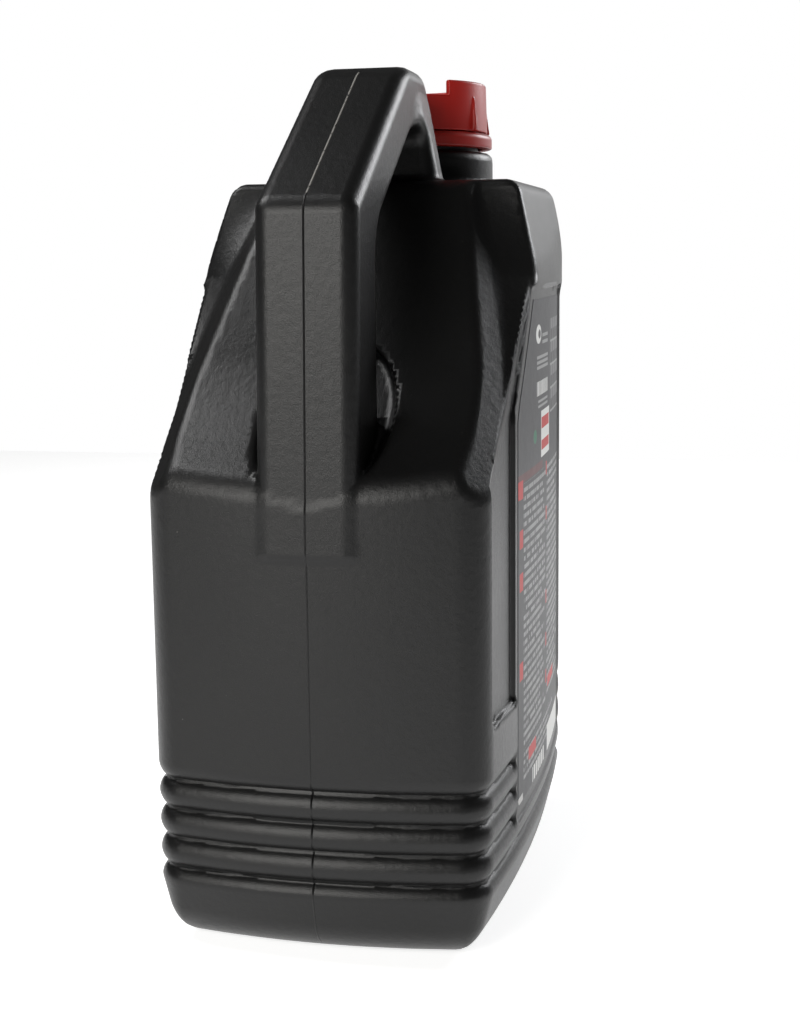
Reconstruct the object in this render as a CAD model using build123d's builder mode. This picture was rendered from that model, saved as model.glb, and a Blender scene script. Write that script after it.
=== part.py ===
# A four litre oil bottle: a one-piece blow-moulded body with a loop handle, a ribbed foot and a
# recessed label panel on each broad side, closed by a screw cap over a foil seal.
# Frame: +Z up, the foot stands on z = 0, X runs along the long side from the handle end (-X) to the
# neck end (+X), and the parting plane of the mould is Y = 0. Millimetres.
from build123d import *
import math
import os

os.makedirs("parts", exist_ok=True)

# ---------------------------------------------------------------- driving sizes of the body
body_length = 184.0       # over the bowed end faces
body_width = 118.0        # over the bowed broad sides
total_height = 285.0      # foot to the top of the handle
shoulder_height = 151.5   # top of the upright end face
lip_height = 214.1        # where the broad sides start to lean in
deck_height = 247.3       # flat deck round the neck
wall = 1.4                # moulded wall
end_bow = 6.1             # how far the end faces bow out
side_bow = 4.4            # how far the broad sides bow out
corner_radius = 8.4       # upright corners
foot_radius = 12.2        # round edge between the sides and the foot
lean_in = 7.9             # how far each broad side leans in between the lip and the deck
end_lean = 3.7            # the same at the neck end
deck_round = 6.5          # round edge of the deck

# facet and back wall that make room for the fingers
facet_run = 31.8          # level distance covered by the sloping shoulder facet
facet_rise = 23.4         # height gained over that distance
saddle_reach = 88.8       # from the handle end to the top of the back wall

# cheeks: the flat slopes each side of the back wall
cheek_low = (-60.8, 55.6, 165.5)    # on the broad side, low end
cheek_high = (-11.2, 53.3, 213.2)   # on the broad side, high end
cheek_in = (-3.7, 38.3, 240.3)      # on the edge of the deck
cheek_rise = (8.0, 20.0)            # the cut's upper edge runs on from cheek_in by this much

# four moulded grooves round the foot
groove_count = 4
groove_top = 55.2         # height of the highest groove
groove_pitch = 9.7
groove_depth = 3.2

# label panel and the channel beside it
panel_near = 50.0         # from the handle end to the panel, over the bowed length
panel_far = 15.9          # from the neck end to the panel
panel_low = 34.6
panel_top = 209.4
panel_depth = 1.0
panel_slant = (26.0, 34.0)  # length and height of the slanting upper corner
panel_lead = 2.5          # the slant starts this far in from the near edge
panel_nick = 5.0          # and this far above the end of the near edge
panel_round = 2.0
channel_width = 32.0
channel_low = 74.8
channel_gap = 2.8         # land between the channel and the panel
channel_depth = 2.2
channel_top = 164.8
channel_lean = (6.0, 14.0)  # run and rise of its leaning upper near corner
channel_round = 4.0

# handle
handle_width = 32.7
strap_thickness = 27.1
strap_top = 238.0         # where the upright strap turns into the slope
strap_lean = 4.3          # the strap's outer face leans in by this much on its way up
slope_reach = 77.6        # from the handle end to the top of the slope
grip_depth = 22.4         # thickness of the sloping grip
grip_flat = 20.1          # underside to top where the handle is level
arm_outer = 21.0          # X of the outer face of the arm beside the neck
arm_thickness = 16.4
arm_round = 13.1
arm_foot_width = 43.9     # the arm spreads to this width at the deck
handle_edge = 5.1         # round edges of the handle
handle_lean_low = 1.0     # the strap's outer face stands this far in at its foot
handle_root = 22.0        # the strap's solid starts this far below the shoulder
arm_root = 16.0           # and the arm's this far below the deck
arm_shoulder = 8.0        # the arm starts to spread this far below its top
strap_round = 3.0         # outer corner at the top of the strap
slope_round = 5.0         # outer corner at the top of the slope
under_round = (6.0, 3.0, 6.5)  # inner corners from the strap to the arm
pocket_half_width = 26.2  # scooped pocket round the foot of the strap
pocket_half_height = 33.7
pocket_height = 185.1     # height of the pocket's centre
pocket_depth = 23.4

# neck, cap and seals
neck_x = 56.1
collar_radius = 32.3
collar_height = 259.5
collar_round = 2.8
finish_radius = 26.7      # plain barrel that carries the thread
bore_radius = 24.1
finish_height = 274.9     # rim of the mouth
bead_radius = 27.7        # bead that holds the tamper band
bead_height = 264.8
bead_half = 0.9
bead_slope = 0.5          # the bead's lower side slopes by this much
collar_flare = 3.0        # the inside narrows to the bore over this height
neck_root = 8.0           # the neck's solids start this far below the deck

cap_top = 284.6
cap_radius = 30.3
cap_draft = 0.5           # the skirt is this much narrower at its top
cap_wall = 2.0
cap_roof = 2.0
skirt_low = 266.8
cap_round = 1.2
fin_count = 8             # tapered gussets down the skirt
fin_first = 247.5         # bearing of the first one, in degrees from +X
fin_top = 278.6
fin_width = 1.9
fin_proud = 1.5
notch_count = 4           # openings in the raised rim of the roof
notch_first = 212.5
notch_width = 11.2
notch_floor = 279.2
rim_thickness = 3.0
band_low = 260.9
band_radius = 32.0
band_bevel = 1.3
band_lead = 1.2           # the hook's lower side slopes by this much
fin_root = 0.5            # gussets start this far inside the skirt's wall
band_gap = 0.4            # cut between the cap and its tamper band
running_gap = 0.4         # between the band and the neck
liner_thickness = 1.0
foil_thickness = 0.2
seal_gap = 0.1            # between the foil, the liner and the cap's roof

label_thickness = 0.15
label_margin = 3.0
oil_level = 220.7
end_margin = 0.5          # the body's profile is drawn this far outside the end faces
oil_gap = 0.35            # kept between the oil's solid and the wall
overshoot = 20.0          # how far cutting tools run past what they cut

half_length = body_length / 2
half_width = body_width / 2
deck_x_low = saddle_reach - half_length
end_radius = ((half_width - side_bow) ** 2 + end_bow**2) / (2 * end_bow)
side_radius = ((half_length - end_bow) ** 2 + side_bow**2) / (2 * side_bow)


def plan(inset, height):
    """Outline of the body from above, four shallow arcs with round corners, moved in by inset."""
    with BuildSketch(Plane.XY.offset(height)) as outline:
        with Locations((half_length - end_radius, 0)):
            Circle(end_radius - inset)
        with Locations((end_radius - half_length, 0)):
            Circle(end_radius - inset, mode=Mode.INTERSECT)
        for side in (1, -1):
            with Locations((0, side * (half_width - side_radius))):
                Circle(side_radius - inset, mode=Mode.INTERSECT)
        fillet(outline.vertices(), corner_radius - inset)
    return outline.sketch


def upright_block(inset, low, high):
    """The body's outline as an upright block."""
    with BuildPart(mode=Mode.PRIVATE) as block:
        add(plan(inset, low))
        extrude(amount=high - low)
    return block.part


def side_prism(points, radii, grow=0.0):
    """A profile seen from the broad side, run right through the bottle."""
    with BuildPart(mode=Mode.PRIVATE) as prism:
        with BuildSketch(Plane.XZ):
            with BuildLine():
                if radii:
                    FilletPolyline(*points, radius=radii, close=True)
                else:
                    Polyline(*points, close=True)
            make_face()
            if grow:
                offset(amount=grow)
        extrude(amount=body_width, both=True)
    return prism.part


def body_side(inset):
    """The body seen from the broad side: foot, facet, back wall, deck and neck end."""
    far = half_length + overshoot
    facet_end = (-half_length + facet_run, shoulder_height + facet_rise)
    points = [
        (-far, 0),
        (far, 0),
        (far, lip_height),
        (half_length + end_margin, lip_height),
        (half_length - end_lean, deck_height),
        (deck_x_low, deck_height),
        facet_end,
        (-half_length, shoulder_height),
        (-far, shoulder_height - facet_rise / facet_run * overshoot),
    ]
    return side_prism(points, None, -inset)


def body_front(inset):
    """The body seen from the end: a round-edged foot, upright sides and a leaning shoulder."""
    with BuildPart(mode=Mode.PRIVATE) as prism:
        with BuildSketch(Plane.YZ) as face:
            with BuildLine():
                Polyline(
                    (-half_width, 0),
                    (half_width, 0),
                    (half_width, lip_height),
                    (half_width - lean_in, deck_height),
                    (-half_width + lean_in, deck_height),
                    (-half_width, lip_height),
                    close=True,
                )
            make_face()
            fillet(face.vertices().group_by(Axis.Y)[-1], deck_round)
            if inset:
                offset(amount=-inset)
        extrude(amount=body_length, both=True)
    return prism.part


def panel_shape(margin, grow=0.0):
    """The label panel seen from the broad side, with its slanting upper corner."""
    near = -half_length + panel_near + margin
    far = half_length - panel_far - margin
    low = panel_low + margin
    top = panel_top - margin
    slant_x, slant_z = panel_slant
    points = [
        (near, low),
        (far, low),
        (far, top),
        (near + slant_x + panel_lead, top),
        (near + panel_lead, top - slant_z),
        (near, top - slant_z - panel_nick),
    ]
    return side_prism(points, panel_round, grow)


def channel_shape(grow):
    """The upright channel between the corner of the bottle and its label panel."""
    far = -half_length + panel_near - channel_gap
    near = far - channel_width
    run, rise = channel_lean
    points = [
        (near, channel_low),
        (far, channel_low),
        (far, channel_top),
        (near + run, channel_top),
        (near, channel_top - rise),
    ]
    return side_prism(points, channel_round, grow)


def cheek_cutter(inset, side):
    """What is cut away outside the sloping cheek on one side of the back wall."""
    low, high, inner = (Vector(x, side * y, z) for x, y, z in (cheek_low, cheek_high, cheek_in))
    normal = (high - low).cross(inner - low).normalized() * side * -1
    if normal.Z < 0:
        normal = normal * -1
    slope = Plane(origin=low - normal * inset, x_dir=(high - low), z_dir=normal)
    reach = 4 * half_length
    high_x, high_z = cheek_in[0] + cheek_rise[0], cheek_in[2] + cheek_rise[1]
    edge = [
        (-reach, 0.0),
        (cheek_low[0] - reach, cheek_low[2] - reach),
        (cheek_low[0], cheek_low[2]),
        (cheek_high[0], cheek_high[2]),
        (high_x, high_z),
        (high_x, reach),
        (-reach, reach),
    ]
    with BuildPart(mode=Mode.PRIVATE) as cutter:
        with BuildSketch(slope):
            Rectangle(2 * reach, 2 * reach)
        extrude(amount=reach)
        add(side_prism(edge, None, inset), mode=Mode.INTERSECT)
    return cutter.part


def groove_cutter(inset, height):
    """A V-shaped ring round the body, left out where the label panels stand."""
    flank = groove_depth + 1.0
    with BuildPart(mode=Mode.PRIVATE) as lower:
        add(upright_block(inset, height - 2 * flank, height))
        chamfer(lower.edges().group_by(Axis.Z)[-1], groove_depth)
    with BuildPart(mode=Mode.PRIVATE) as upper:
        add(upright_block(inset, height, height + 2 * flank))
        chamfer(upper.edges().group_by(Axis.Z)[0], groove_depth)
    with BuildPart(mode=Mode.PRIVATE) as ring:
        add(upright_block(-flank, height - groove_depth, height + groove_depth))
        add(lower.part, mode=Mode.SUBTRACT)
        add(upper.part, mode=Mode.SUBTRACT)
        if height > panel_low:
            add(panel_shape(-1.0), mode=Mode.SUBTRACT)
    return ring.part


def handle_form(inset):
    """The loop handle: strap, sloping grip and the arm beside the neck."""
    outer_x = -half_length
    grip_rise = (total_height - strap_top) / (slope_reach - strap_lean)
    grip_angle = math.atan(grip_rise)
    inner_x = outer_x + strap_lean + strap_thickness
    under_start = strap_top - grip_depth / math.cos(grip_angle) + grip_rise * strap_thickness
    under_end = total_height - grip_flat
    under_end_x = inner_x + (under_end - under_start) / grip_rise
    low = shoulder_height - handle_root
    foot = deck_height - arm_root
    shoulder = total_height - arm_shoulder
    arm_inner = arm_outer - arm_thickness
    half = handle_width / 2
    with BuildPart(mode=Mode.PRIVATE) as loop:
        with BuildSketch(Plane.XZ):
            with BuildLine():
                FilletPolyline(
                    (outer_x + handle_lean_low, low),
                    (outer_x + strap_lean, strap_top),
                    (outer_x + slope_reach, total_height),
                    (arm_outer, total_height),
                    (arm_outer, foot),
                    (outer_x + saddle_reach, low),
                    radius=(strap_round, slope_round, strap_round, arm_round, strap_round, strap_round),
                    close=True,
                )
            make_face()
            if inset:
                offset(amount=-inset)
        extrude(amount=half - inset, both=True)
        fillet(loop.faces().filter_by(Axis.Y).edges(), handle_edge - inset)
        with BuildSketch(Plane.YZ.offset(arm_inner + inset)):
            with BuildLine():
                Polyline(
                    (-half + inset, shoulder),
                    (half - inset, shoulder),
                    (arm_foot_width / 2 - inset, deck_height),
                    (arm_foot_width / 2 - inset, foot),
                    (-arm_foot_width / 2 + inset, foot),
                    (-arm_foot_width / 2 + inset, deck_height),
                    close=True,
                )
            make_face()
        extrude(amount=arm_thickness - 2 * inset)
        with BuildSketch(Plane.XZ):
            with BuildLine():
                FilletPolyline(
                    (inner_x, low - overshoot),
                    (inner_x, under_start),
                    (under_end_x, under_end),
                    (arm_inner, under_end),
                    (arm_inner, low - overshoot),
                    radius=(strap_round, *under_round, strap_round),
                    close=True,
                )
            make_face()
            if inset:
                offset(amount=inset)
        extrude(amount=body_width, both=True, mode=Mode.SUBTRACT)
    return loop.part


def pocket_form(grow):
    """The scooped pocket round the foot of the strap, which leaves the strap standing proud."""
    with BuildPart(mode=Mode.PRIVATE) as pocket:
        with BuildSketch(Plane.YZ.offset(-half_length - overshoot)):
            with Locations((0, pocket_height)):
                Ellipse(pocket_half_width + grow, pocket_half_height + grow)
        extrude(amount=overshoot + pocket_depth + grow)
    return pocket.part


def bottle_form(inset):
    """The whole moulded shape, moved in by inset: 0 gives its outside, the wall its inside."""
    with BuildPart(mode=Mode.PRIVATE) as form:
        add(upright_block(inset, inset, deck_height - inset))
        foot = form.edges().group_by(Axis.Z)[0]
        fillet(foot, foot_radius - inset)
        add(body_side(inset), mode=Mode.INTERSECT)
        add(body_front(inset), mode=Mode.INTERSECT)
        for side in (1, -1):
            add(cheek_cutter(inset, side), mode=Mode.SUBTRACT)
        for shape, depth in ((panel_shape(0.0, inset), panel_depth), (channel_shape(inset), channel_depth)):
            with BuildPart(mode=Mode.PRIVATE) as recess:
                add(shape)
                add(upright_block(inset + depth, 0.0, deck_height), mode=Mode.SUBTRACT)
            add(recess.part, mode=Mode.SUBTRACT)
        for index in range(groove_count):
            add(groove_cutter(inset, groove_top - index * groove_pitch), mode=Mode.SUBTRACT)
        add(pocket_form(inset), mode=Mode.SUBTRACT)
        add(handle_form(inset))
    return form.part


# ---------------------------------------------------------------- turned shapes about the neck
neck_plane = Plane(origin=(neck_x, 0, 0), x_dir=(1, 0, 0), z_dir=(0, -1, 0))
neck_axis = Axis((neck_x, 0, 0), (0, 0, 1))


def turned(*points, rounds=None):
    """A ring or disc turned about the neck from its half section, given as radius and height."""
    with BuildPart(mode=Mode.PRIVATE) as ring:
        with BuildSketch(neck_plane) as section:
            with BuildLine():
                Polyline(*points, close=True)
            make_face()
            for corner, radius in rounds or []:
                fillet(section.vertices().sort_by_distance((corner[0], corner[1]))[0], radius)
        revolve(axis=neck_axis)
    return ring.part


def neck_outside():
    """Collar, thread barrel and the bead that holds the tamper band."""
    root = deck_height - neck_root
    with BuildPart(mode=Mode.PRIVATE) as neck:
        add(turned((0, root), (collar_radius, root), (collar_radius, collar_height), (0, collar_height),
                   rounds=[((collar_radius, collar_height), collar_round)]))
        add(turned((0, root), (finish_radius, root), (finish_radius, finish_height), (0, finish_height)))
        add(turned((0, bead_height - bead_half), (finish_radius, bead_height - bead_half - bead_slope),
                   (bead_radius, bead_height - bead_half), (bead_radius, bead_height),
                   (finish_radius, bead_height + bead_half), (0, bead_height + bead_half)))
    return neck.part


def neck_inside():
    """The bore, which opens out inside the collar."""
    root = deck_height - neck_root
    return turned((0, root), (collar_radius - wall, root), (collar_radius - wall, collar_height - wall - collar_flare),
                  (bore_radius, collar_height - wall), (bore_radius, finish_height + overshoot),
                  (0, finish_height + overshoot))


# ---------------------------------------------------------------- the moulded body
moulded_outside = bottle_form(0.0)
moulded_inside = bottle_form(wall)
neck_skin = neck_outside()
neck_bore = neck_inside()

with BuildPart() as bottle_body:
    add(moulded_outside)
    add(neck_skin)
    add(moulded_inside, mode=Mode.SUBTRACT)
    add(neck_bore, mode=Mode.SUBTRACT)
bottle_body.part.label = "bottle_body"
export_step(bottle_body.part, "parts/bottle_body.step")

# ---------------------------------------------------------------- the oil it holds
oil_space = bottle_form(wall + oil_gap)

with BuildPart() as motor_oil:
    add(oil_space)
    with Locations((0, 0, oil_level)):
        Box(2 * body_length, 2 * body_width, total_height,
            align=(Align.CENTER, Align.CENTER, Align.MIN), mode=Mode.SUBTRACT)
motor_oil.part.label = "motor_oil"
export_step(motor_oil.part, "parts/motor_oil.step")

# ---------------------------------------------------------------- seals in the mouth
foil_top = finish_height + foil_thickness
liner_low = foil_top + seal_gap
roof_low = liner_low + liner_thickness + seal_gap
roof_top = roof_low + cap_roof
skirt_inside = cap_radius - cap_wall

with BuildPart() as foil_seal:
    add(turned((0, finish_height), (finish_radius, finish_height), (finish_radius, foil_top), (0, foil_top)))
foil_seal.part.label = "foil_seal"
export_step(foil_seal.part, "parts/foil_seal.step")

liner_radius = skirt_inside - running_gap
liner_top = liner_low + liner_thickness
with BuildPart() as cap_liner:
    add(turned((0, liner_low), (liner_radius, liner_low), (liner_radius, liner_top), (0, liner_top)))
cap_liner.part.label = "cap_liner"
export_step(cap_liner.part, "parts/cap_liner.step")

# ---------------------------------------------------------------- the screw cap
rim_outside = cap_radius - cap_draft
rim_inside = rim_outside - rim_thickness
with BuildPart() as cap:
    add(turned((skirt_inside, skirt_low), (cap_radius, skirt_low), (rim_outside, cap_top), (rim_inside, cap_top),
               (rim_inside, roof_top), (0, roof_top), (0, roof_low), (skirt_inside, roof_low),
               rounds=[((rim_outside, cap_top), cap_round)]))
    for index in range(fin_count):
        turn = fin_first + index * 360 / fin_count
        radial = Plane(origin=(neck_x, 0, 0),
                       x_dir=(math.cos(math.radians(turn)), math.sin(math.radians(turn)), 0),
                       z_dir=(math.sin(math.radians(turn)), -math.cos(math.radians(turn)), 0))
        with BuildSketch(radial):
            with BuildLine():
                Polyline((skirt_inside + fin_root, fin_top), (cap_radius - cap_draft / 2, fin_top),
                         (cap_radius + fin_proud, skirt_low), (skirt_inside + fin_root, skirt_low), close=True)
            make_face()
        extrude(amount=fin_width / 2, both=True)
    for index in range(notch_count):
        turn = notch_first + index * 360 / notch_count
        with Locations(Location((neck_x, 0, notch_floor), (0, 0, turn))):
            with Locations((rim_inside, 0, 0)):
                Box(4 * rim_thickness, notch_width, 2 * (cap_top - notch_floor),
                    align=(Align.CENTER, Align.CENTER, Align.MIN), mode=Mode.SUBTRACT)
cap.part.label = "cap"
export_step(cap.part, "parts/cap.step")

# ---------------------------------------------------------------- the tamper band left on the neck
band_top = skirt_low - band_gap
band_hook = finish_radius + running_gap
with BuildPart() as tamper_band:
    add(turned((band_hook, band_low), (band_radius, band_low), (band_radius, band_top - band_bevel),
               (band_radius - band_bevel, band_top), (bead_radius + running_gap, band_top),
               (bead_radius + running_gap, bead_height - bead_half - running_gap),
               (band_hook, bead_height - bead_half - band_lead)))
tamper_band.part.label = "tamper_band"
export_step(tamper_band.part, "parts/tamper_band.step")

# ---------------------------------------------------------------- the two labels
for side, name in ((-1, "front_label"), (1, "back_label")):
    with BuildPart() as label:
        add(panel_shape(label_margin))
        add(upright_block(panel_depth - label_thickness, 0.0, deck_height), mode=Mode.INTERSECT)
        add(upright_block(panel_depth, 0.0, deck_height), mode=Mode.SUBTRACT)
        with BuildPart(mode=Mode.PRIVATE) as half_space:
            with Locations((0, side * body_width, 0)):
                Box(2 * body_length, 2 * body_width, 2 * total_height)
        add(half_space.part, mode=Mode.INTERSECT)
    label.part.label = name
    export_step(label.part, f"parts/{name}.step")
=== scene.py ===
"""A four litre oil bottle: black blow-moulded body, printed labels, red screw cap.

The moulded pieces are made from distance formulas in millimetres: a formula is negative inside the
piece, two formulas are joined or cut with a rounded edge, and a skin of four-sided faces is laid on
the zero level. The frame gives every piece its place.
"""
import math

import bpy
import numpy as np
from mathutils import Matrix, Vector


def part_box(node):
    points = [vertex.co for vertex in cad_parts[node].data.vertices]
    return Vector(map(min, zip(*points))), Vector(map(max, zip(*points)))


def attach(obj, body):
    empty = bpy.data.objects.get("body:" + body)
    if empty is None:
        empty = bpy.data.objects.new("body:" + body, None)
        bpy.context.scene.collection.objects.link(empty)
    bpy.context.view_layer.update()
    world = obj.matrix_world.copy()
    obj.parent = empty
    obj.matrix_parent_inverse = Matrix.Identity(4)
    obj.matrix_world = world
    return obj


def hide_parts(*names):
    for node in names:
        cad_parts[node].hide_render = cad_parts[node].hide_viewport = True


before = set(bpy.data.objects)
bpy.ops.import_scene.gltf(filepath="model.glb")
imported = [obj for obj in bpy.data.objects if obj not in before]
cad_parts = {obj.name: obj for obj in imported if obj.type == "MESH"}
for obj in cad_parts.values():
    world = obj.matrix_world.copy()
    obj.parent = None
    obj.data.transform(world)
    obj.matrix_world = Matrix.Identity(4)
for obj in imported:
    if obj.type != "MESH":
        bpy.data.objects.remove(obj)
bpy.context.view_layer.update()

MM = 0.001


# ------------------------------------------------------------------ sizes, from the frame, in mm
def node_box(name):
    """A node's lowest and highest corners in millimetres."""
    low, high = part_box(name)
    return np.array(low) / MM, np.array(high) / MM


body_low, body_high = node_box("bottle_body")
cap_low, cap_high = node_box("cap")
band_low, band_high = node_box("tamper_band")
label_low, label_high = node_box("front_label")
foil_low, foil_high = node_box("foil_seal")
oil_low, oil_high = node_box("motor_oil")

HALF_LENGTH = body_high[0]
HALF_WIDTH = body_high[1]
HEIGHT = body_high[2]
NECK_X = (cap_low[0] + cap_high[0]) / 2

END_BOW = 6.1
SIDE_BOW = 4.4
CORNER = 8.4
SHOULDER = 151.5          # top of the upright end face
LIP = 214.1               # where the broad sides start to lean in
DECK = 247.3              # flat deck round the neck
LEAN_IN = 7.9
END_LEAN = 3.7
FACET_RUN = 31.8
FACET_RISE = 23.4
SADDLE_REACH = 88.8
GROOVE_TOP = 55.2
GROOVE_PITCH = 9.75
GROOVES = 4
GROOVE_DEPTH = 3.1
GROOVE_STEPS = 9          # grid planes to one groove
FOOT_ROUND = 12.0
FOOT_TAPER_TOP = 22.0     # below this the sides draw in
FOOT_TAPER = 0.26
LIP_PROUD = 0.9           # the lip under the leaning sides
SIDE_ROUND = 2.0          # edge between the broad side and its lean
TOP_ROUND = 4.5           # edge between the sides and the top
SHOULDER_ROUND = 5.0      # from the facet to the back wall, and on to the deck
CHEEK_POINT = (-60.8, 55.6, 165.5)     # the cheek is a plane through this point
CHEEK_FACING = (-0.469, 0.712, 0.522)
CHEEK_RIDGE_Z = (150.0, 194.3, 219.1, 243.9, 262.0)    # the ridge on the inner side of the cheek
CHEEK_RIDGE_X = (-72.5, -34.4, -16.4, -1.0, 8.0)
CHEEK_RIDGE_Y = (56.0, 51.9, 45.5, 37.4, 31.0)
CHEEK_EDGE_Z = (150.0, 165.5, 211.5, 214.5, 247.3, 262.0)     # its edge on the broad side
CHEEK_EDGE_X = (-77.0, -60.8, -13.0, -11.2, 0.0, 5.0)
CHEEK_EDGE_Y = (59.5, 59.5, 59.5, 57.0, 51.5, 48.0)
CHANNEL_LOW = 75.5
CHANNEL_TOP = 212.4
CHANNEL_GAP = 2.8
CHANNEL_WIDTH = 32.0
CHANNEL_BEND = 170.4      # here the channel's far side turns along the panel's slant
CHANNEL_SLANT = (30.8, 210.6)          # run of that slant, and the height it reaches
CHANNEL_UNDER_CHEEK = ((-61.5, 165.5), (-11.0, 214.1))     # line of its upper near side
LABEL_MARGIN = 3.0
POCKET_DEPTH = 7.0
POCKET_RIM = (21.5, 24.0, 170.0)       # half width, half height and height of the middle
POCKET_TOP = (18.5, 20.0, 174.0)
PANEL_DEPTH = 1.0
PANEL_SLANT = (28.5, 34.0)             # run and fall of the panel's slanting corner
PANEL_LEAD = 2.5          # the slant starts this far in from the near edge
PANEL_NICK = 39.0         # the near edge ends this far below the panel's top
PANEL_ROUND = 2.0
CHANNEL_DEPTH = 2.2
WALL = 1.5
HANDLE_HALF = 16.35
HANDLE_EDGE = 5.1
STRAP_LEAN = 4.3
STRAP_FOOT = 146.0
STRAP_TOP = 238.0
STRAP_ROUND = 3.0
SLOPE_REACH = 77.6
SLOPE_ROUND = 5.0
HANDLE_LOW = 130.0        # the handle's formula ends here, inside the body
HANDLE_UNDER = ((-90.0, 120.0), (60.0, 251.0))             # and under this line
HOLE_NEAR = 60.6          # the finger hole starts this far from the middle
HOLE_BEND = 228.8         # and its roof slopes up from here
HOLE_LEVEL = (-4.3, 264.9)             # to this place, where it turns level
HOLE_ROUNDS = (6.0, 3.0, 6.5)
HOLE_EDGE = 3.0
ARM_OUTER = 21.0
ARM_INNER = 4.6
ARM_ROUND = 13.0
ARM_SPREAD = 5.6          # the arm is this much wider on each side at its foot
ARM_SPREAD_DROP = 8       # the spread starts this far below the handle's top
ARM_SPREAD_FALL = 30      # and is full this much lower
ARM_SPREAD_RUN = 12
COLLAR_R = 32.3
COLLAR_TOP = 259.5
COLLAR_ROUND = 3.0
COLLAR_ROOT = 12          # the collar's formula starts this far below the deck
BORE_ROOT = 20
OIL_GAP = 0.6
FINISH_R = 26.7
BORE_R = 24.1
BEAD_Z = 264.8            # bead that holds the tamper band
THREAD_START = 267.6
THREAD_PITCH = 4.0
THREAD_PROUD = 0.95
THREAD_HALF = 1.05        # half the thread's width at its root
THREAD_SLOPE = 0.9
CAP_R = (cap_high[0] - cap_low[0]) / 2
CAP_DRAFT = 0.5           # the skirt is this much narrower at its top
CAP_ROOF_UP = 11.5        # the roof's upper face above the skirt's lower edge
CAP_ROOF = 2.0
CAP_WALL = 2.0
CAP_RIM = 3.5             # raised rim round the roof
FIN_FIRST = math.radians(247.5)
FIN_COUNT = 8
FIN_TOP = 278.6
FIN_PROUD = 1.5
FIN_ROOT = 25             # gussets start this far from the cap's axis
FIN_HALF = (0.45, 0.75)   # half width at the top, and what is added towards the foot
NOTCH_FIRST = math.radians(212.5)
NOTCH_COUNT = 4
NOTCH_HALF = 5.6
NOTCH_FLOOR = 279.2
NOTCH_ROOT = 20
BAND_R = (band_high[0] - band_low[0]) / 2
BAND_BORE = 28.1
BAND_BEVEL = 1.4
DIAGONAL = 0.7071         # makes a distance of a sum along two axes

# grid sizes of the skins
SHELL_CELL = 2.0
HOLLOW_CELL = 4.0
FINISH_CELL = 0.75
CAP_CELL = 0.55
OIL_CELL = 3.6
ROOM = 6.0                # kept free round a piece in its grid
CAP_ROOM = np.array([4, 4, 1.5])
BAND_ROOM = 1.5


# ------------------------------------------------------------------ distance formulas
def meet(a, b, r=0.0):
    """Inside both, with the edge rounded to radius r."""
    if r <= 0:
        return np.maximum(a, b)
    u = np.maximum(a + r, 0)
    v = np.maximum(b + r, 0)
    return np.minimum(np.maximum(a, b), -r) + np.hypot(u, v)


def join(a, b, r=0.0):
    """Inside either, with the inner corner filled to radius r."""
    return -meet(-a, -b, r)


def cut(a, b, r=0.0):
    """Inside a and outside b."""
    return meet(a, -b, r)


def slope(u, w, u0, w0, u1, w1):
    """Distance above the line from (u0, w0) to (u1, w1); above is on the left of the line."""
    length = math.hypot(u1 - u0, w1 - w0)
    return ((w - w0) * (u1 - u0) - (u - u0) * (w1 - w0)) / length


def ramp(v, low, high):
    """0 below low, 1 above high, smooth between."""
    t = np.clip((v - low) / (high - low), 0, 1)
    return t * t * (3 - 2 * t)


def polygon(u, w, points, r):
    """A convex outline given anticlockwise, with round corners."""
    result = None
    for (u0, w0), (u1, w1) in zip(points, points[1:] + points[:1]):
        side = -slope(u, w, u0, w0, u1, w1)
        result = side if result is None else meet(result, side, r)
    return result


def plan(x, y):
    """The body from above: four shallow arcs with round corners."""
    end_r = ((HALF_WIDTH - SIDE_BOW) ** 2 + END_BOW**2) / (2 * END_BOW)
    side_r = ((HALF_LENGTH - END_BOW) ** 2 + SIDE_BOW**2) / (2 * SIDE_BOW)
    end = np.hypot(np.abs(x) + end_r - HALF_LENGTH, y) - end_r
    side = np.hypot(x, np.abs(y) + side_r - HALF_WIDTH) - side_r
    return meet(end, side, CORNER)


def panel_outline(x, z, grow):
    """The label panel seen from the broad side, with its slanting upper corner."""
    near, far = label_low[0] - LABEL_MARGIN - grow, label_high[0] + LABEL_MARGIN + grow
    low, top = label_low[2] - LABEL_MARGIN - grow, label_high[2] + LABEL_MARGIN + grow
    run, fall = PANEL_SLANT
    points = [
        (near, low),
        (far, low),
        (far, top),
        (near + run + 0.4 * grow, top),
        (near + PANEL_LEAD, top - fall - 1.5 * grow),
        (near, top - PANEL_NICK - 1.5 * grow),
    ]
    return polygon(x, z, points, PANEL_ROUND)


def channel_outline(x, z):
    """The channel beside the label panel: upright, then leaning up along the panel's slant."""
    far = label_low[0] - LABEL_MARGIN - CHANNEL_GAP
    near = far - CHANNEL_WIDTH
    run, slant_top = CHANNEL_SLANT
    above_slant = slope(x, z, far, CHANNEL_BEND, far + run, slant_top)
    under_cheek = slope(x, z, *CHANNEL_UNDER_CHEEK[0], *CHANNEL_UNDER_CHEEK[1])
    span = join(x - far, -above_slant, 2.0)
    outline = meet(near - x, CHANNEL_LOW - z, 3.0)
    return meet(meet(outline, meet(span, under_cheek, 1.5), 2.0), z - CHANNEL_TOP, 1.0)


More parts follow.
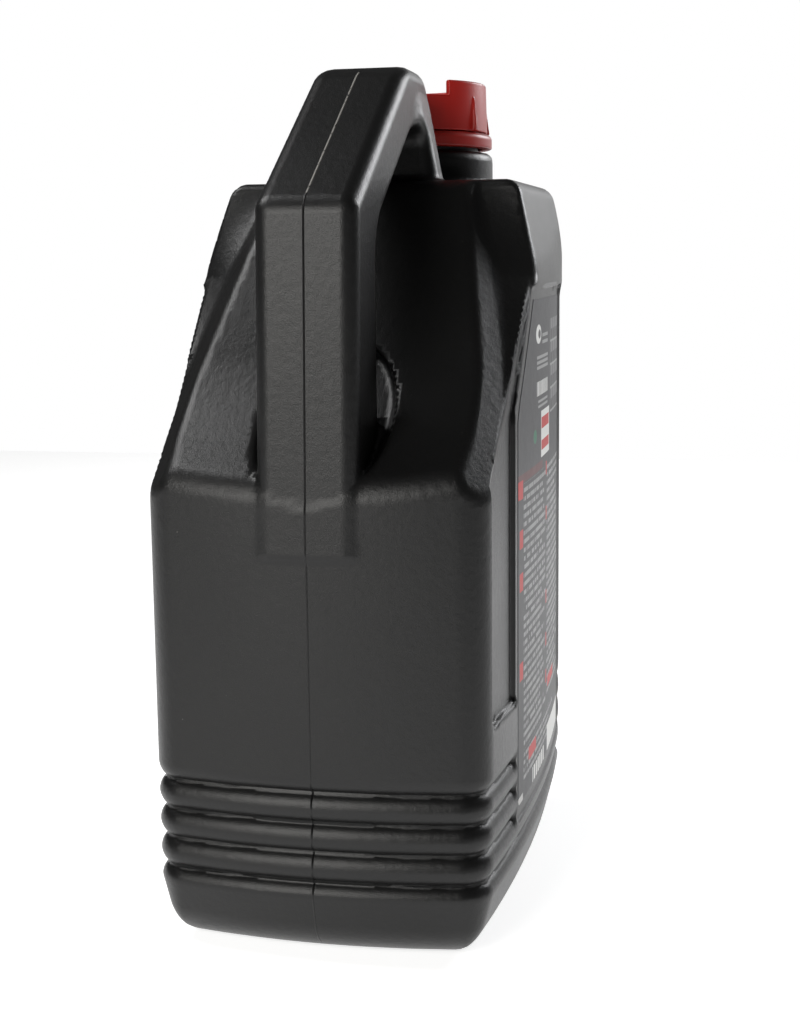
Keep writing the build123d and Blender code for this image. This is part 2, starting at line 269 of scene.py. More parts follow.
def handle(x, y, z):
    """The loop handle: strap, sloping grip and the arm beside the neck."""
    strap_x = -HALF_LENGTH + STRAP_LEAN
    outer = slope(x, z, -HALF_LENGTH, STRAP_FOOT, strap_x, STRAP_TOP)
    top = slope(x, z, strap_x, STRAP_TOP, -HALF_LENGTH + SLOPE_REACH, HEIGHT)
    shape = meet(meet(outer, top, STRAP_ROUND), z - HEIGHT, SLOPE_ROUND)
    shape = meet(shape, x - ARM_OUTER, ARM_ROUND)
    shape = meet(shape, HANDLE_LOW - z, 1.0)
    shape = meet(shape, slope(x, z, *HANDLE_UNDER[0], *HANDLE_UNDER[1]) * -1, 1.0)
    level_x, level_z = HOLE_LEVEL
    roof = slope(x, z, -HOLE_NEAR, HOLE_BEND, level_x, level_z)
    hole = meet(-x - HOLE_NEAR, roof, HOLE_ROUNDS[0])
    hole = meet(hole, z - level_z, HOLE_ROUNDS[1])
    hole = meet(hole, x - ARM_INNER, HOLE_ROUNDS[2])
    shape = cut(shape, hole, HOLE_EDGE)
    lowered = np.clip((HEIGHT - ARM_SPREAD_DROP - z) / ARM_SPREAD_FALL, 0, 1)
    spread = ARM_SPREAD * lowered * ramp(x, ARM_INNER - ARM_SPREAD_RUN, ARM_INNER)
    return meet(shape, np.abs(y) - HANDLE_HALF - spread, HANDLE_EDGE)


def grooves(x, z):
    """How far the moulded grooves go in at each height: sharp valleys between round crests."""
    place = (z - GROOVE_TOP) / GROOVE_PITCH
    index = np.clip(np.round(-place), 0, GROOVES - 1)
    away = np.abs(place + index) * 2
    away = np.sqrt(np.minimum(away, 1) ** 2 + 0.03) - 0.173
    crest = np.sqrt(np.clip(1 - (1 - away) ** 2, 0, 1))
    depth = GROOVE_DEPTH * (1 - crest)
    return depth * ramp(panel_outline(x, z, 2.0), -1.0, 3.0)


def saddle(x, z):
    """Above the facet and the back wall, which make room for the fingers."""
    facet_x = -HALF_LENGTH + FACET_RUN
    facet_z = SHOULDER + FACET_RISE
    facet = slope(x, z, -HALF_LENGTH, SHOULDER, facet_x, facet_z)
    wall = slope(x, z, facet_x, facet_z, -HALF_LENGTH + SADDLE_REACH, DECK)
    return join(facet, wall, SHOULDER_ROUND)


def shoulder(x, z, ay):
    """The body's upper limits: facet, back wall and deck, and the leaning sides."""
    top = meet(saddle(x, z), z - DECK, SHOULDER_ROUND)
    lean = slope(-ay, z, -HALF_WIDTH - LIP_PROUD, LIP, -HALF_WIDTH + LEAN_IN, DECK)
    far = slope(-x, z, -HALF_LENGTH - 0.3, LIP, -HALF_LENGTH + END_LEAN, DECK)
    return top, meet(lean, far, 8.0)


def cheek_side(x, ay, z):
    """The face that closes the cheek: a ruled face from its ridge to the edge of the broad side."""
    ridge_x = np.interp(z, CHEEK_RIDGE_Z, CHEEK_RIDGE_X)
    ridge_y = np.interp(z, CHEEK_RIDGE_Z, CHEEK_RIDGE_Y)
    edge_x = np.interp(z, CHEEK_EDGE_Z, CHEEK_EDGE_X)
    edge_y = np.interp(z, CHEEK_EDGE_Z, CHEEK_EDGE_Y)
    share = np.clip((edge_y - ay) / (edge_y - ridge_y), -0.5, 1.3)
    return (edge_x + share * (ridge_x - edge_x) - x) * 0.7


def pocket(x, y, z):
    """The scoop round the foot of the strap, sunk into the facet and the back wall."""
    rim, top = (
        np.hypot(y / half_width, (z - middle_z) / half_height) * half_width - half_width
        for half_width, half_height, middle_z in (POCKET_RIM, POCKET_TOP)
    )
    depth = saddle(x, z) + POCKET_DEPTH
    return meet(join(rim, top, 4.0), -depth, 5.0)


def bottle_body(x, y, z):
    """The moulded body without its handle and neck."""
    ay = np.abs(y)
    plain_side = plan(x, y)
    side = plain_side + grooves(x, z)
    side = side + np.maximum(FOOT_TAPER_TOP - z, 0) * FOOT_TAPER
    lip = LIP_PROUD * ramp(z, LIP - 9.0, LIP - 2.0) * ramp(ay, 30.0, 50.0)
    side = side - lip
    body = meet(side, -z, FOOT_ROUND)
    top, lean = shoulder(x, z, ay)
    body = meet(meet(body, lean, SIDE_ROUND), top, TOP_ROUND)
    cheek = sum(f * (v - p) for f, v, p in zip(CHEEK_FACING, (x, ay, z), CHEEK_POINT))
    body = meet(body, join(cheek, cheek_side(x, ay, z), 0.8), 1.6)
    recess = meet(panel_outline(x, z, 1.2), -(plain_side + PANEL_DEPTH), 0.6)
    body = cut(body, recess, 0.8)
    channel = meet(channel_outline(x, z), -(plain_side + CHANNEL_DEPTH), 1.0)
    body = cut(body, channel, 1.2)
    return cut(body, pocket(x, y, z), 2.0)


def bottle(x, y, z):
    """The whole moulded body."""
    body = join(bottle_body(x, y, z), handle(x, y, z), 2.0)
    r = np.hypot(x - NECK_X, y)
    collar = meet(meet(r - COLLAR_R, z - COLLAR_TOP, COLLAR_ROUND), DECK - COLLAR_ROOT - z)
    return join(body, collar, 1.6)


def inside(x, y, z):
    """The space inside the moulded wall, up through the bore."""
    r = np.hypot(x - NECK_X, y)
    bore = meet(meet(r - BORE_R, z - foil_low[2] + 0.4), DECK - BORE_ROOT - z)
    return join(bottle(x, y, z) + WALL, bore, 2.0)


def oil(x, y, z):
    """The oil, up to its level."""
    return meet(bottle_body(x, y, z) + WALL + OIL_GAP, z - oil_high[2], 0.5)


def neck_finish(x, y, z):
    """The barrel, its bead and its thread."""
    r = np.hypot(x - NECK_X, y)
    angle = np.arctan2(y, x - NECK_X) / (2 * math.pi)
    top = foil_low[2]
    barrel = meet(r - FINISH_R, z - top, 0.6)
    bead = np.hypot(r - FINISH_R, (z - BEAD_Z) / 1.1) - 0.95
    lead = (z - THREAD_START) / THREAD_PITCH + angle
    ridge = np.abs(lead - np.round(lead)) * THREAD_PITCH
    fade = ramp(z, 266.9, 268.4) * ramp(top - z, 0.5, 2.0)
    flank = ridge + (r - FINISH_R) * THREAD_SLOPE - THREAD_HALF
    thread = meet(r - FINISH_R - THREAD_PROUD * fade, flank, 0.3)
    return join(join(barrel, bead, 0.4), meet(thread, z - top + 0.6), 0.3)


# ------------------------------------------------------------------ skin on the zero level
def levels(low, high, cell):
    """Evenly spaced places from low to high, centred between them."""
    count = math.ceil((high - low) / cell) + 1
    return (low + high) / 2 + (np.arange(count) - (count - 1) / 2) * cell


def skin(formula, axes, relax=2):
    """Vertices, four-sided faces and normals of the zero level of formula, all in millimetres.

    axes are the places of the grid's planes along X, Y and Z."""
    counts = np.array([len(axis) for axis in axes])
    cell = max(np.diff(axis).max() for axis in axes)
    grid = np.meshgrid(*axes, indexing="ij")
    value = formula(*grid)
    inside = value < 0
    total = np.zeros(tuple(counts - 1) + (3,))
    hits = np.zeros(tuple(counts - 1))
    halves = [slice(0, -1), slice(1, None)]
    for axis in range(3):
        others = [a for a in range(3) if a != axis]
        for i in (0, 1):
            for j in (0, 1):
                start, stop = [None] * 3, [None] * 3
                start[axis], stop[axis] = halves
                for other, pick in zip(others, (i, j)):
                    start[other] = stop[other] = halves[pick]
                start, stop = tuple(start), tuple(stop)
                a, b = value[start], value[stop]
                crossing = (a < 0) != (b < 0)
                share = np.where(crossing, a / np.where(crossing, a - b, 1), 0)
                for k in range(3):
                    place = grid[k][start] + share * (grid[k][stop] - grid[k][start])
                    total[..., k] += np.where(crossing, place, 0)
                hits += crossing
    used = hits > 0
    number = np.full(used.shape, -1)
    number[used] = np.arange(used.sum())
    points = total[used] / hits[used][:, None]
    faces = []
    for axis in range(3):
        others = [a for a in range(3) if a != axis]
        a = np.take(inside, range(0, counts[axis] - 1), axis)
        b = np.take(inside, range(1, counts[axis]), axis)
        changed = np.argwhere(a != b)
        within = [(changed[:, o] > 0) & (changed[:, o] < counts[o] - 1) for o in others]
        changed = changed[np.all(within, axis=0)]
        outward = a[tuple(changed.T)]
        ring = []
        for i, j in ((0, 0), (1, 0), (1, 1), (0, 1)):
            at = changed.copy()
            at[:, others[0]] -= 1 - i
            at[:, others[1]] -= 1 - j
            ring.append(number[tuple(at.T)])
        quad = np.stack(ring, 1)
        flip = outward if axis == 1 else ~outward
        quad[flip] = quad[flip][:, ::-1]
        faces.append(quad)
    faces = np.concatenate(faces)

    def gradient(p):
        h = 0.05
        g = []
        for k in range(3):
            step = np.zeros(3)
            step[k] = h
            g.append((formula(*(p + step).T) - formula(*(p - step).T)) / (2 * h))
        return np.stack(g, 1)

    def settle(p, times):
        for _ in range(times):
            g = gradient(p)
            size = np.maximum((g * g).sum(1), 0.05)
            move = -(formula(*p.T) / size)[:, None] * g
            reach = np.linalg.norm(move, axis=1, keepdims=True)
            p = p + move * np.minimum(1, cell * 0.5 / np.maximum(reach, 1e-9))
        return p

    points = settle(points, 3)
    ends = np.concatenate([faces[:, [0, 1]], faces[:, [1, 2]], faces[:, [2, 3]], faces[:, [3, 0]]])
    for _ in range(relax):
        near = np.zeros_like(points)
        for k in range(3):
            near[:, k] = np.bincount(ends[:, 0], points[ends[:, 1], k], len(points))
            near[:, k] += np.bincount(ends[:, 1], points[ends[:, 0], k], len(points))
        count = np.bincount(ends.ravel(), minlength=len(points))[:, None]
        normal = gradient(points)
        normal /= np.maximum(np.linalg.norm(normal, axis=1, keepdims=True), 1e-9)
        move = near / count - points
        move -= (move * normal).sum(1, keepdims=True) * normal
        points = settle(points + 0.6 * move, 1)
    points = settle(points, 2)
    normal = gradient(points)
    normal /= np.maximum(np.linalg.norm(normal, axis=1, keepdims=True), 1e-9)
    return points, faces, normal


def inside_out(part):
    """The same skin facing the other way, for the inside of a wall."""
    points, faces, normals = part
    return points, faces[:, ::-1], -normals


def mesh_piece(name, parts, material):
    """One mesh object from one or more skins, shaded with the formulas' own normals."""
    points, faces, normals = [], [], []
    base = 0
    for p, f, n in parts:
        points.append(p * MM)
        faces.append(f + base)
        normals.append(n)
        base += len(p)
    points, faces, normals = np.concatenate(points), np.concatenate(faces), np.concatenate(normals)
    mesh = bpy.data.meshes.new(name)
    mesh.from_pydata(points.tolist(), [], faces.tolist())
    mesh.update()
    mesh.polygons.foreach_set("use_smooth", np.ones(len(faces), bool))
    mesh.normals_split_custom_set_from_vertices(normals.tolist())
    mesh.materials.append(material)
    piece = bpy.data.objects.new(name, mesh)
    bpy.context.scene.collection.objects.link(piece)
    return piece


# ------------------------------------------------------------------ materials
class Value:
    """A socket that can be used in Python expressions."""

    def __init__(self, shader, socket):
        self.shader = shader
        self.socket = socket

    def _maths(self, operation, *values):
        return self.shader.node("ShaderNodeMath", {"operation": operation}, *values)

    def __add__(self, other):
        return self._maths("ADD", self, other)

    def __radd__(self, other):
        return self._maths("ADD", other, self)

    def __sub__(self, other):
        return self._maths("SUBTRACT", self, other)

    def __rsub__(self, other):
        return self._maths("SUBTRACT", other, self)

    def __mul__(self, other):
        return self._maths("MULTIPLY", self, other)

    def __truediv__(self, other):
        return self._maths("DIVIDE", self, other)

    def __abs__(self):
        return self._maths("ABSOLUTE", self)

    def __gt__(self, other):
        return self._maths("GREATER_THAN", self, other)

    def __lt__(self, other):
        return self._maths("LESS_THAN", self, other)

    def fraction(self):
        return self._maths("FRACT", self)

    def floor(self):
        return self._maths("FLOOR", self)

    def smaller(self, other):
        return self._maths("MINIMUM", self, other)

    def larger(self, other):
        return self._maths("MAXIMUM", self, other)


class Shader:
    """One material and the only way this script adds nodes to it."""

    def __init__(self, name):
        self.material = bpy.data.materials.new(name)
        self.material.use_nodes = True
        self.tree = self.material.node_tree
        self.surface = self.tree.nodes["Principled BSDF"]
        place = self.tree.nodes.new("ShaderNodeTexCoord")
        self.place = Value(self, place.outputs["Object"])

    def node(self, kind, settings, *values, output=0, **named):
        made = self.tree.nodes.new(kind)
        for key, setting in settings.items():
            setattr(made, key, setting)
        for socket, value in zip(made.inputs, values):
            self.feed(socket, value)
        for key, value in named.items():
            self.feed(made.inputs[key], value)
        return Value(self, made.outputs[output])

    def feed(self, socket, value):
        if isinstance(value, Value):
            self.tree.links.new(value.socket, socket)
        elif value is not None:
            socket.default_value = value

    def parts(self):
        """x, y and z of the place, in millimetres."""
        split = self.tree.nodes.new("ShaderNodeSeparateXYZ")
        self.tree.links.new(self.place.socket, split.inputs[0])
        return [Value(self, split.outputs[i]) * 1000.0 for i in range(3)]

    def noise(self, scale, detail=2.0, roughness=0.5):
        """Smooth noise; scale is in waves per metre."""
        return self.node("ShaderNodeTexNoise", {}, Vector=self.place, Scale=scale, Detail=detail,
                         Roughness=roughness)

    def vector(self, x, y, z):
        return self.node("ShaderNodeCombineXYZ", {}, x, y, z)

    def hypot(self, a, b):
        """Distance of (a, b) from the middle."""
        flat = self.vector(a, b, 0.0)
        return self.node("ShaderNodeVectorMath", {"operation": "LENGTH"}, flat, output=1)

    def mix(self, share, first, second):
        """A colour between two colours."""
        made = self.tree.nodes.new("ShaderNodeMix")
        made.data_type = "RGBA"
        for socket, value in ((made.inputs[0], share), (made.inputs[6], first), (made.inputs[7], second)):
            self.feed(socket, value)
        return Value(self, made.outputs[2])

    def bump(self, height, strength, distance, under=None):
        return self.node("ShaderNodeBump", {}, Strength=strength, Distance=distance, Height=height,
                         Normal=under)

    def set(self, **inputs):
        for key, value in inputs.items():
            self.feed(self.surface.inputs[key.replace("_", " ")], value)


def black_polyethylene():
    """Black moulded polyethylene: fine grain, a faint orange peel and the mould's parting line."""
    s = Shader("black_polyethylene")
    x, y, z = s.parts()
    grain = s.noise(2600.0, 3.0, 0.6)
    peel = s.noise(420.0, 2.0, 0.5)
    cloud = s.noise(26.0, 3.0, 0.55)
    dust = s.node("ShaderNodeTexVoronoi", {"feature": "F1"}, Vector=s.place, Scale=160.0)
    spread = s.noise(900.0, 1.0)
    speck = (dust < 0.045) * (spread > 0.62)
    line = (1.0 - (abs(y) / 0.35)).larger(0.0)
    on_slope = (z > STRAP_TOP + 2.5) * (x < -17.0)
    torn = (line * 2.0).smaller(1.0) * on_slope * (s.noise(700.0) > 0.40)
    colour = s.mix(cloud, (0.0048, 0.0048, 0.0050, 1), (0.0074, 0.0074, 0.0074, 1))
    colour = s.mix(speck * 0.5, colour, (0.12, 0.115, 0.11, 1))
    colour = s.mix((line * 1.5).smaller(0.6), colour, (0.002, 0.002, 0.002, 1))
    colour = s.mix(torn, colour, (0.34, 0.33, 0.31, 1))
    rough = 0.31 + cloud * 0.08 + (grain - 0.5) * 0.16
    normal = s.bump(peel, 0.30, 0.00035)
    normal = s.bump(grain, 0.45, 0.00016, normal)
    normal = s.bump(line, 0.8, 0.00025, normal)
    s.set(Base_Color=colour, Roughness=rough, Normal=normal)
    s.set(Specular_IOR_Level=0.36)
    return s.material


def red_polypropylene():
    """Red moulded polypropylene, satin."""
    s = Shader("red_polypropylene")
    grain = s.noise(1800.0, 3.0, 0.55)
    cloud = s.noise(60.0, 2.0, 0.5)
    colour = s.mix(cloud, (0.40, 0.012, 0.008, 1), (0.46, 0.017, 0.011, 1))
    normal = s.bump(grain, 0.18, 0.0001)
    s.set(Base_Color=colour, Roughness=0.30 + cloud * 0.14, Normal=normal)
    s.set(Subsurface_Weight=0.06, Subsurface_Scale=0.002)
    return s.material


def plain(name, colour, roughness, metallic=0.0):
    """A plain finish with a little grain and unevenness."""
    s = Shader(name)
    grain = s.noise(900.0, 2.0)
    shade = s.mix(grain, tuple(c * 0.86 for c in colour[:3]) + (1,), colour)
    s.set(Base_Color=shade, Roughness=roughness + grain * 0.1, Normal=s.bump(grain, 0.2, 0.0001))
    s.set(Metallic=metallic)
    return s.material


# Places on the label in millimetres, as left, right, bottom and top of a box.
LABEL_LEFT = label_low[0]
HEADING = (LABEL_LEFT, 12.0, 146.5, 149.5)
TYPE_AREAS = (             # box, pitch of the lines and a seed
    ((-29.5, 21.5, 56.0, 146.0), 2.9, 3.0),
    ((25.0, 71.0, 60.0, 146.0), 2.9, 11.0),
    ((-29.5, 50.0, 44.0, 54.5), 2.6, 23.0),
)
RULED_AREAS = (            # box, pitch and the share of it that is filled
    ((11.0, 27.0, 190.5, 195.0), 2.4, 0.5),
    ((-2.5, 27.5, 182.0, 187.0), 1.8, 0.6),
    ((0.5, 26.5, 168.5, 172.0), 1.8, 0.5),
)
CHART = (36.0, 72.0, 164.0, 198.4)
CHART_CELL = (9.0, 8.6)
BOLD = ((-2.5, 27.5, 172.8, 177.8), 3.4, 0.62)
LOW_BOLD = ((-12.0, 18.0, 37.5, 43.0), 4.6, 0.66)
CARD = (8.0, 32.5, 150.5, 167.0)
WHITE_FOOT = (27.0, 72.0, 37.0, 47.5)
GREY_FOOT = (LABEL_LEFT, -31.0, 37.0, 40.0)
CARD_BARS = ((9.0, 31.0, 160.6, 164.6), (9.0, 31.0, 153.0, 156.5))
RED_BOXES = (
    (LABEL_LEFT, -30.6, 141.5, 147.5),
    *((-36.5, -30.6, top - 6.2, top) for top in (147.5, 131.0, 116.5, 86.0)),
    *((21.8, 24.6, top - 5.0, top) for top in (147.5, 131.0, 100.0, 84.0, 70.0)),
    (28.0, 50.0, 62.0, 66.0),
    (-20.0, -4.0, 48.0, 52.5),
)
RING_X, RING_Z, RING_R = 1.5, 194.2, 6.3
RING_HOLE_X, RING_HOLE_R = 3.5, 3.0
RING_SQUASH = 1.9
SPOT_X, SPOT_Z, SPOT_R = -6.5, 159.3, 3.6
SPOT_SQUASH = 1.5


def label_print(name, facing):
    """The printed film: a dark ground with plain generic marks, rules, blocks and lines of type.

    facing is 1 where X runs to the right as the label is read, and -1 where it runs to the left."""
    s = Shader(name)
    x, y, z = s.parts()
    middle = (label_low[0] + label_high[0]) / 2
    across = x if facing > 0 else 2 * middle - x

    def block(box):
        """1 inside a box of the label, else 0."""
        left, right, bottom, top = box
        return (across > left) * (across < right) * (z > bottom) * (z < top)

    def rules(box, pitch, share):
        """Level lines within a box, each filling a share of the pitch."""
        return block(box) * (((z - box[2]) / pitch).fraction() < share)

    def bars(box, pitch, share):
        """Upright bars within a box, each filling a share of the pitch."""
        return block(box) * ((across / pitch).fraction() < share)

    def type_lines(box, pitch, seed):
        """Lines of small type: level lines broken into word-like runs of uneven length."""
        left, right, bottom, _ = box
        row = ((z - bottom) / pitch).floor()
        words = s.node("ShaderNodeTexNoise", {"noise_dimensions": "2D"},
                       Vector=s.vector(across * 0.55, row * 7.3 + seed, 0.0), Scale=1.0, Detail=2.0)
        end = s.node("ShaderNodeTexWhiteNoise", {"noise_dimensions": "1D"}, W=row + seed)
        short = across < (right - end * end * (right - left) * 0.35)
        return rules(box, pitch, 0.52) * short * (words > 0.44)

    def oval(middle_x, middle_z, squash, radius):
        """1 inside an oval wider than it is high, else 0."""
        return s.hypot(across - middle_x, (z - middle_z) * squash) < radius

    def any_of(masks):
        """The masks added up, at most 1."""
        total = masks[0]
        for mask in masks[1:]:
            total = total + mask
        return total.smaller(1.0)

    white, grey, red = (0.72, 0.72, 0.70, 1), (0.30, 0.30, 0.30, 1), (0.50, 0.03, 0.03, 1)
    dull_red, green = (0.15, 0.03, 0.03, 1), (0.03, 0.16, 0.09, 1)
    colour = s.mix(s.noise(40.0), (0.050, 0.050, 0.053, 1), (0.064, 0.064, 0.068, 1))
    colour = s.mix(block(HEADING) * 0.6, colour, dull_red)
    colour = s.mix(any_of([type_lines(*area) for area in TYPE_AREAS]), colour, grey)
    colour = s.mix(any_of([rules(*area) for area in RULED_AREAS]), colour, grey)
    cell_x = ((across - CHART[0]) / CHART_CELL[0]).fraction()
    cell_z = ((z - CHART[2]) / CHART_CELL[1]).fraction()
    half_tone = (cell_z > 0.55) * (cell_x > 0.3) * 0.5
    chart = block(CHART) * any_of([cell_x < 0.07, cell_z < 0.09, half_tone])
    colour = s.mix(chart, colour, grey)
    hole = oval(RING_HOLE_X, RING_Z, RING_SQUASH, RING_HOLE_R)
    ring = oval(RING_X, RING_Z, RING_SQUASH, RING_R) * (1.0 - hole)
    white_area = [bars(*BOLD), ring, block(CARD), bars(*LOW_BOLD), block(WHITE_FOOT),
                  block(GREY_FOOT) * 0.7]
    colour = s.mix(any_of(white_area), colour, white)
    colour = s.mix(any_of([block(box) for box in CARD_BARS + RED_BOXES]), colour, red)
    colour = s.mix(oval(SPOT_X, SPOT_Z, SPOT_SQUASH, SPOT_R), colour, green)
    gloss = 0.42 + s.noise(300.0) * 0.08
    s.set(Base_Color=colour, Roughness=gloss, Normal=s.bump(s.noise(500.0), 0.12, 0.0001))
    s.set(Specular_IOR_Level=0.22)
    return s.material


BLACK = black_polyethylene()
RED = red_polypropylene()
FOIL = plain("foil", (0.75, 0.75, 0.76, 1), 0.3, 1.0)
FOAM = plain("liner_foam", (0.8, 0.8, 0.77, 1), 0.6)
OIL = plain("oil", (0.5, 0.26, 0.05, 1), 0.1)

# ------------------------------------------------------------------ the moulded body
def box_levels(low, high, cell):
    """The three sets of grid planes of an even grid."""
    return [levels(a, b, cell) for a, b in zip(low, high)]


def shell_levels():
    """The moulding's grid, with its level planes set to the grooves so that their valleys stay sharp."""
    axes = box_levels(body_low - ROOM, body_high + ROOM, SHELL_CELL)
    step = GROOVE_PITCH / GROOVE_STEPS
    lowest = -GROOVE_STEPS * GROOVES - 2
    ribs = GROOVE_TOP + (np.arange(lowest, GROOVE_STEPS) + 0.5) * step
    top = body_high[2] + ROOM
    above = np.linspace(ribs[-1], top, round((top - ribs[-1]) / SHELL_CELL) + 1)[1:]
    below = np.linspace(-ROOM, ribs[0], round((ribs[0] + ROOM) / SHELL_CELL) + 1)[:-1]
    axes[2] = np.concatenate([below, ribs, above])
    return axes


def neck_open(x, y, z):
    """The barrel with its bore, closed off just inside the collar."""
    r = np.hypot(x - NECK_X, y)
    solid = meet(neck_finish(x, y, z), COLLAR_TOP - 1.0 - z)
    return cut(solid, meet(r - BORE_R, COLLAR_TOP + 0.2 - z), 0.4)


shell = skin(bottle, shell_levels())
hollow = skin(inside, box_levels(body_low - ROOM, body_high + ROOM, HOLLOW_CELL))
neck_low = [NECK_X - 31, -31, COLLAR_TOP - 2.0]
neck_high = [NECK_X + 31, 31, foil_low[2] + 2.0]
finish = skin(neck_open, box_levels(neck_low, neck_high, FINISH_CELL))
bottle_piece = mesh_piece("bottle_moulding", [shell, finish, inside_out(hollow)], BLACK)
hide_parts("bottle_body")
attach(bottle_piece, "bottle")


# ------------------------------------------------------------------ the cap and its tamper band
def folded(x, y, first, count):
    """Distances along and across the nearest of count rays round the neck."""
    r = np.hypot(x - NECK_X, y)
    step = 2 * math.pi / count
    angle = np.arctan2(y, x - NECK_X) - first
    angle = angle - np.round(angle / step) * step
    return r * np.cos(angle), r * np.sin(angle)


def screw_cap(x, y, z):
    """Skirt, roof, raised notched rim and tapered gussets; the inside is plain."""
    r = np.hypot(x - NECK_X, y)
    low, top = cap_low[2], cap_high[2]
    skirt_r = CAP_R - CAP_DRAFT * (z - low) / (top - low)
    outside = meet(meet(r - skirt_r, z - top, 0.9), low - z, 0.4)
    roof_top = low + CAP_ROOF_UP
    well = meet(r - (CAP_R - CAP_RIM), roof_top - z, 1.2)
    inner = meet(r - (CAP_R - CAP_WALL), z - (roof_top - CAP_ROOF), 0.5)
    shape = cut(cut(outside, well, 0.7), inner, 0.4)
    along, across = folded(x, y, NOTCH_FIRST, NOTCH_COUNT)
    notch = meet(meet(np.abs(across) - NOTCH_HALF, NOTCH_FLOOR - z, 0.4), NOTCH_ROOT - along)
    shape = cut(shape, notch, 0.5)
    along, across = folded(x, y, FIN_FIRST, FIN_COUNT)
    down = np.clip((FIN_TOP - z) / (FIN_TOP - low), 0, 1)
    half = FIN_HALF[0] + FIN_HALF[1] * down
    fin = meet(meet(along - CAP_R - FIN_PROUD * down, np.abs(across) - half, 0.35), low - z)
    fin = meet(meet(fin, z - FIN_TOP), FIN_ROOT - along)
    return join(shape, fin, 0.5)


def band(x, y, z):
    """The ring left on the neck, with a bevelled top."""
    r = np.hypot(x - NECK_X, y)
    low, top = band_low[2], band_high[2]
    shape = meet(r - BAND_R, z - top, 0.2)
    shape = meet(shape, (r - BAND_R + z - top + BAND_BEVEL) * DIAGONAL, 0.5)
    shape = meet(shape, low - z, 0.6)
    return cut(shape, r - BAND_BORE, 0.3)


cap_skin = skin(screw_cap, box_levels(cap_low - CAP_ROOM, cap_high + CAP_ROOM, CAP_CELL))
cap_piece = mesh_piece("screw_cap", [cap_skin], RED)
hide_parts("cap")
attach(cap_piece, "cap")
band_skin = skin(band, box_levels(band_low - BAND_ROOM, band_high + BAND_ROOM, CAP_CELL))
band_piece = mesh_piece("tamper_ring", [band_skin], RED)
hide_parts("tamper_band")
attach(band_piece, "bottle")


# ------------------------------------------------------------------ finishes of the other nodes
def finish_node(name, material):
    """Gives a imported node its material."""
    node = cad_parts[name]
    node.data.materials.clear()
    node.data.materials.append(material)


finish_node("front_label", label_print("front_print", 1))
finish_node("back_label", label_print("back_print", -1))
finish_node("cap_liner", FOAM)
finish_node("foil_seal", FOIL)

oil_skin = skin(oil, box_levels(oil_low - ROOM, oil_high + ROOM, OIL_CELL))
oil_piece = mesh_piece("oil_fill", [oil_skin], OIL)
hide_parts("motor_oil")
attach(oil_piece, "bottle")

# ------------------------------------------------------------------ floor, light and camera
ROOM_LIGHT = 0.05         # strength of the backdrop as a light
BACKDROP = 1.0            # strength of the backdrop as it is seen
FLOOR_REACH = 1.25


def studio():
    """A white backdrop that gives only a little light itself."""
    world = bpy.data.worlds.new("studio")
    bpy.context.scene.world = world
    world.use_nodes = True
    tree = world.node_tree
    seen = tree.nodes.new("ShaderNodeLightPath")
    level = tree.nodes.new("ShaderNodeMix")
    level.inputs["A"].default_value = ROOM_LIGHT
    level.inputs["B"].default_value = BACKDROP
    tree.links.new(seen.outputs["Is Camera Ray"], level.inputs["Factor"])
    tree.links.new(level.outputs["Result"], tree.nodes["Background"].inputs["Strength"])
    tree.nodes["Background"].inputs["Color"].default_value = (1, 1, 1, 1)


def soft_light(name, place, target, size, power, tint=(1, 1, 1)):
    """A soft box at place, aimed at target."""
    data = bpy.data.lights.new(name, "AREA")
    data.shape = "RECTANGLE"
    data.size, data.size_y = size
    data.energy = power
    data.color = tint
    light = bpy.data.objects.new(name, data)
    bpy.context.scene.collection.objects.link(light)
    light.location = place
    aim = Vector(target) - Vector(place)
    light.rotation_euler = aim.to_track_quat("-Z", "Y").to_euler()
    return light


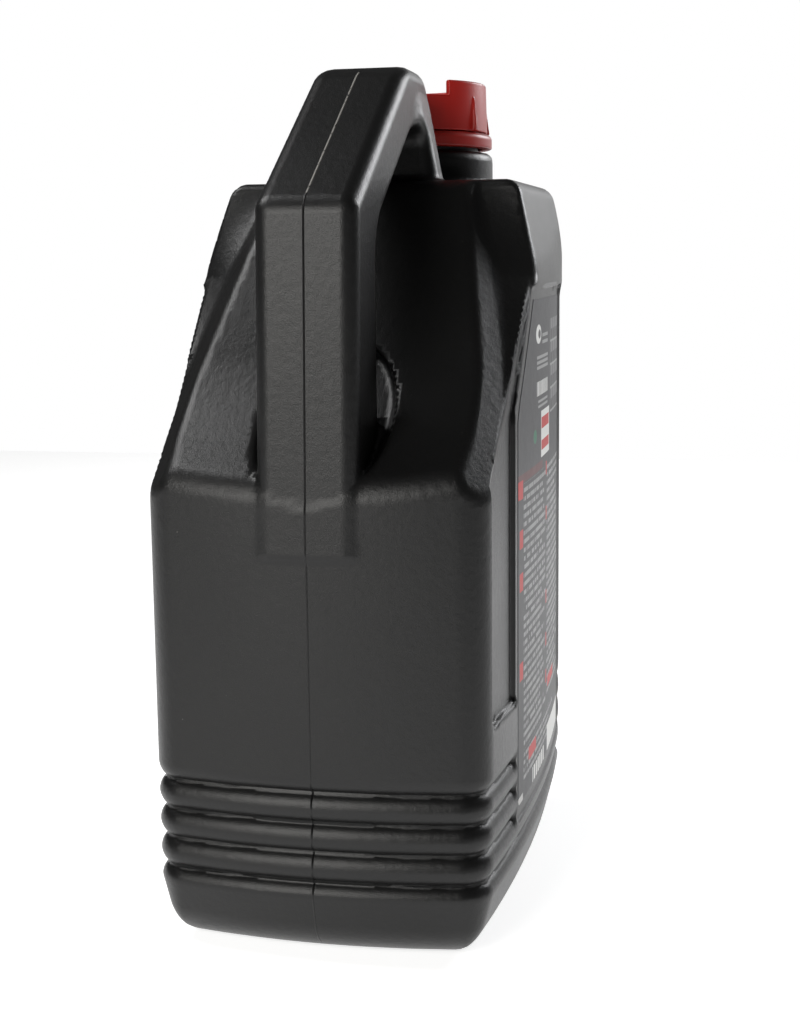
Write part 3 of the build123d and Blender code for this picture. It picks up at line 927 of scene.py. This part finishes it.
def floor():
    """A plain pale floor."""
    mesh = bpy.data.meshes.new("floor")
    corners = [(x * FLOOR_REACH, y * FLOOR_REACH, 0) for x, y in ((-1, -1), (1, -1), (1, 1), (-1, 1))]
    mesh.from_pydata(corners, [], [(0, 1, 2, 3)])
    s = Shader("pale_floor")
    s.set(Base_Color=s.mix(s.noise(3.0), (0.90, 0.90, 0.90, 1), (0.92, 0.92, 0.92, 1)), Roughness=0.7)
    s.set(Emission_Color=(1, 1, 1, 1), Emission_Strength=0.72)
    mesh.materials.append(s.material)
    plane = bpy.data.objects.new("floor", mesh)
    bpy.context.scene.collection.objects.link(plane)


floor()
studio()
middle = (0, 0, 0.16)
soft_light("left_front", (-1.3, 0.45, 0.62), middle, (0.7, 0.75), 13.0, (1.0, 0.985, 0.95))
soft_light("left_above", (0.02, 0.60, 1.05), middle, (0.42, 0.42), 5.0)
soft_light("right_above", (0.95, -0.70, 0.68), middle, (0.5, 0.45), 7.0, (0.97, 0.98, 1.0))
soft_light("behind", (1.5, -0.35, 0.45), middle, (1.2, 0.9), 2.5).visible_camera = False


def set_camera(place, yaw, pitch, roll, lens):
    """A camera at place that looks along yaw (from +X towards +Y), down by pitch."""
    data = bpy.data.cameras.new("camera")
    data.lens = lens
    data.sensor_width = 36.0
    data.clip_end = 50
    camera = bpy.data.objects.new("camera", data)
    bpy.context.scene.collection.objects.link(camera)
    ahead = Vector((math.cos(yaw) * math.cos(pitch), math.sin(yaw) * math.cos(pitch), -math.sin(pitch)))
    right = Vector((math.sin(yaw), -math.cos(yaw), 0))
    up = right.cross(ahead)
    turned_right = math.cos(roll) * right + math.sin(roll) * up
    turned_up = -math.sin(roll) * right + math.cos(roll) * up
    axes = Matrix((turned_right, turned_up, -ahead)).transposed().to_4x4()
    camera.matrix_world = Matrix.Translation(place) @ axes
    bpy.context.scene.camera = camera


set_camera((-0.575, -0.1407, 0.2202), 0.226, 0.15, -0.011, 58.68)
bpy.context.scene.view_settings.view_transform = "Standard"
